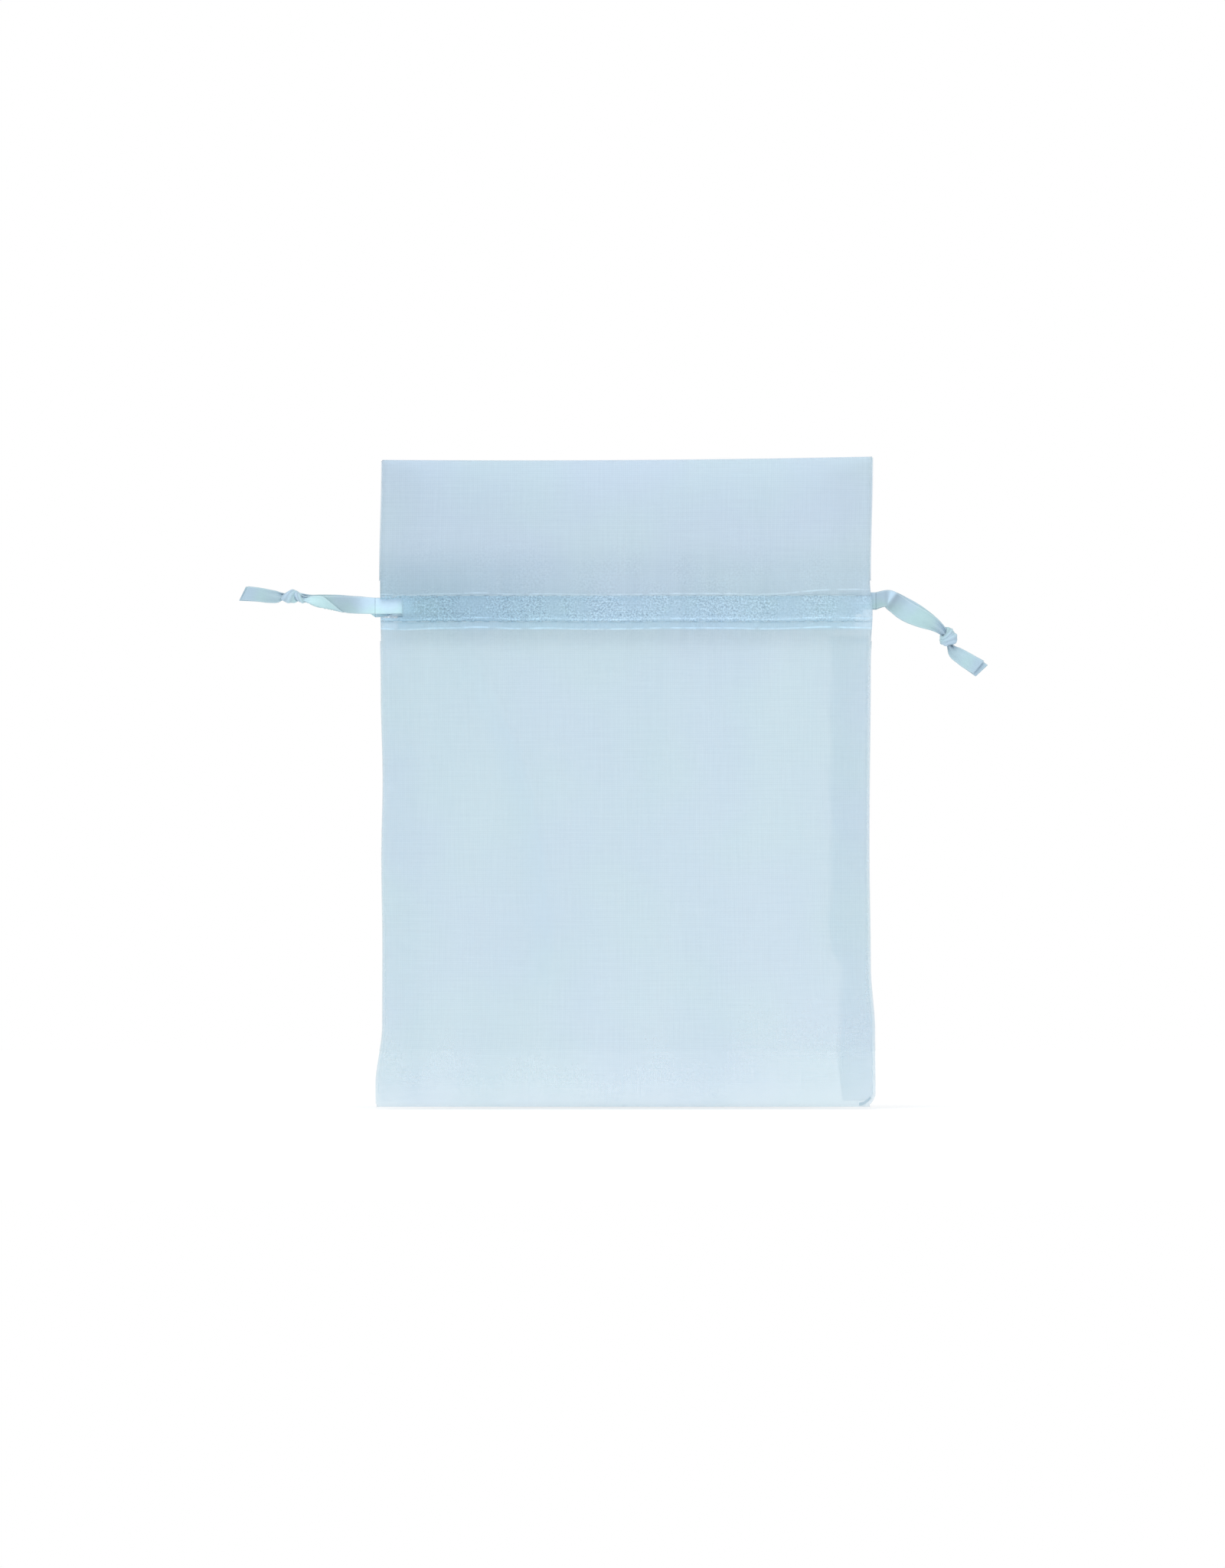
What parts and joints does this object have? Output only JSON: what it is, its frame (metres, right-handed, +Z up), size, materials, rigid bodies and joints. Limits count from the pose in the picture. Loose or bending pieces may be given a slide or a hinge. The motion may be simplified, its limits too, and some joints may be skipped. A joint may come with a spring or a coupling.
{
  "type": "drawstring gift pouch",
  "caption": "Flat sheer organza gift pouch with a stitched casing below an open header and two knotted satin ribbon drawstrings.",
  "frame": {"origin": "middle of the flat underside of the base fold", "axes": "+Z up from the base fold towards the mouth, the front of the pouch faces -Y, +X runs along the mouth from the left tie to the right tie"},
  "size_m": [0.1356, 0.009, 0.1193],
  "materials": {
    "organza": "sheer plain-weave organza with a soft sheen",
    "satin_ribbon": "satin ribbon, fine lengthwise ribs, woven edges",
    "thread": "fine polyester sewing thread"
  },
  "bodies": {
    "root": {"front_panel": "organza", "back_panel": "organza", "front_casing": "organza", "back_casing": "organza", "front_header": "organza", "back_header": "organza", "base_fold": "organza", "front_facing": "organza", "back_facing": "organza", "left_seam_allowance": "organza", "right_seam_allowance": "organza", "left_side_stitches": "thread", "right_side_stitches": "thread", "front_upper_casing_stitches": "thread", "front_lower_casing_stitches": "thread", "back_upper_casing_stitches": "thread", "back_lower_casing_stitches": "thread"},
    "left_drawstring": {"left_ribbon_loop": "satin_ribbon"},
    "left_mouth": {"left_header_seam_allowance": "organza", "left_header_stitches": "thread"},
    "left_tie": {"left_front_strand": "satin_ribbon", "left_back_strand": "satin_ribbon", "left_knot": "satin_ribbon"},
    "left_front_tail": {"left_front_tail": "satin_ribbon"},
    "left_back_tail": {"left_back_tail": "satin_ribbon"},
    "right_drawstring": {"right_ribbon_loop": "satin_ribbon"},
    "right_mouth": {"right_header_seam_allowance": "organza", "right_header_stitches": "thread"},
    "right_tie": {"right_front_strand": "satin_ribbon", "right_back_strand": "satin_ribbon", "right_knot": "satin_ribbon"},
    "right_front_tail": {"right_front_tail": "satin_ribbon"},
    "right_back_tail": {"right_back_tail": "satin_ribbon"}
  },
  "joints": [
    {"name": "left_drawstring_pull", "type": "slide", "parent": "root", "child": "left_drawstring", "axis": [-1, 0, 0], "range_m": [0, 0.028], "deforming": ["front_casing", "back_casing", "front_facing", "back_facing"]},
    {"name": "right_drawstring_pull", "type": "slide", "parent": "root", "child": "right_drawstring", "axis": [1, 0, 0], "range_m": [0, 0.028], "deforming": ["front_casing", "back_casing", "front_facing", "back_facing"]},
    {"name": "left_mouth_gather", "type": "slide", "parent": "root", "child": "left_mouth", "axis": [1, 0, 0], "range_m": [0, 0.028]},
    {"name": "right_mouth_gather", "type": "slide", "parent": "root", "child": "right_mouth", "axis": [-1, 0, 0], "range_m": [0, 0.028]},
    {"name": "left_tie_swing", "type": "hinge", "parent": "left_drawstring", "child": "left_tie", "pos_m": [-0.0472, 0, 0.0922], "axis": [0, 1, 0], "range_deg": [-75, 60]},
    {"name": "right_tie_swing", "type": "hinge", "parent": "right_drawstring", "child": "right_tie", "pos_m": [0.0472, 0, 0.0934], "axis": [0, -1, 0], "range_deg": [-45, 80]},
    {"name": "left_front_tail_fan", "type": "hinge", "parent": "left_tie", "child": "left_front_tail", "pos_m": [-0.0634, -0.00022, 0.0941], "axis": [0, 0, 1], "range_deg": [0, 75]},
    {"name": "left_back_tail_fan", "type": "hinge", "parent": "left_tie", "child": "left_back_tail", "pos_m": [-0.0634, 0.00022, 0.0941], "axis": [0, 0, -1], "range_deg": [0, 75]},
    {"name": "right_front_tail_fan", "type": "hinge", "parent": "right_tie", "child": "right_front_tail", "pos_m": [0.06053, -0.00022, 0.08524], "axis": [-0.6811, 0, -0.7322], "range_deg": [0, 75]},
    {"name": "right_back_tail_fan", "type": "hinge", "parent": "right_tie", "child": "right_back_tail", "pos_m": [0.06053, 0.00022, 0.08524], "axis": [0.6811, 0, 0.7322], "range_deg": [0, 75]}
  ],
  "couplings": [
    {"joint": "right_mouth_gather", "follows": "left_drawstring_pull", "ratio": 1},
    {"joint": "left_mouth_gather", "follows": "right_drawstring_pull", "ratio": 1}
  ]
}
